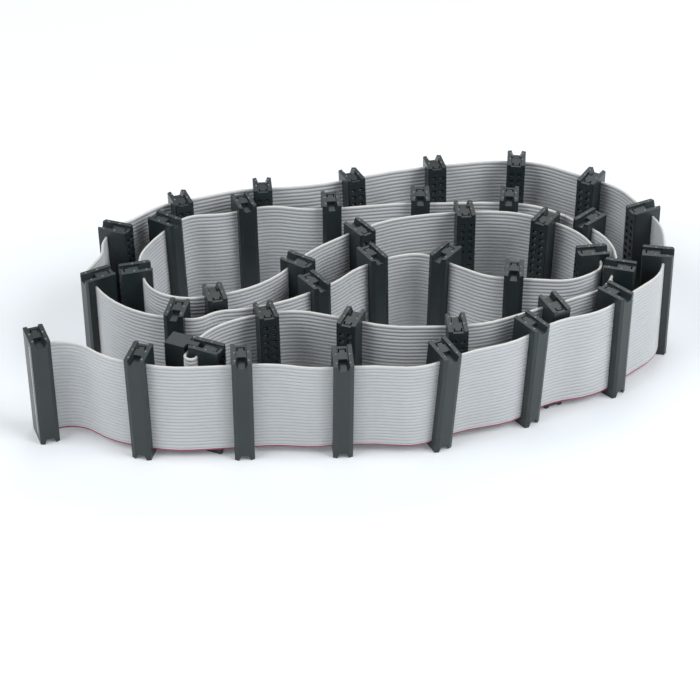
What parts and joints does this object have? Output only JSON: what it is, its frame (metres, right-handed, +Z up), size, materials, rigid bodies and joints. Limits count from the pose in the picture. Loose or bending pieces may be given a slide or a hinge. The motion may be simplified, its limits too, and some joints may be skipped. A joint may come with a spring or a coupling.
{
  "type": "ribbon cable",
  "caption": "Flat grey ribbon cable standing on edge in a loose, slightly leaning double spiral, with black socket connectors crimped on all along it.",
  "frame": {"origin": "middle of the connectors' footprint, on the floor they stand on", "axes": "+X to the right, +Y to the back, +Z up; the free end with the first connector is at the front left"},
  "size_m": [0.2012, 0.122, 0.0389],
  "materials": {
    "insulation": "grey extruded vinyl with one red edge conductor",
    "housing": "black moulded thermoplastic with a satin surface",
    "contact_metal": "tin-plated copper alloy"
  },
  "bodies": {
    "root": {"ribbon": "insulation", "strain_relief": "housing", "socket_01": "housing", "socket_02": "housing", "socket_03": "housing", "socket_04": "housing", "socket_05": "housing", "socket_06": "housing", "socket_07": "housing", "socket_08": "housing", "socket_09": "housing", "socket_10": "housing", "socket_11": "housing", "socket_12": "housing", "socket_13": "housing", "socket_14": "housing", "socket_15": "housing", "socket_16": "housing", "socket_17": "housing", "socket_18": "housing", "socket_19": "housing", "socket_20": "housing", "socket_21": "housing", "socket_22": "housing", "socket_23": "housing", "socket_24": "housing", "socket_25": "housing", "socket_26": "housing", "socket_27": "housing", "socket_28": "housing", "socket_29": "housing", "socket_30": "housing", "socket_31": "housing", "socket_32": "housing", "socket_33": "housing", "socket_34": "housing", "socket_35": "housing", "socket_36": "housing", "socket_37": "housing", "socket_38": "housing", "socket_39": "housing", "socket_40": "housing", "socket_41": "housing", "covers_01_05": "housing", "covers_06_10": "housing", "covers_11_15": "housing", "covers_16_20": "housing", "covers_21_25": "housing", "covers_26_30": "housing", "covers_31_35": "housing", "covers_36_41": "housing", "contacts_01_05": "contact_metal", "contacts_06_10": "contact_metal", "contacts_11_15": "contact_metal", "contacts_16_20": "contact_metal", "contacts_21_25": "contact_metal", "contacts_26_30": "contact_metal", "contacts_31_35": "contact_metal", "contacts_36_41": "contact_metal"}
  },
  "joints": []
}
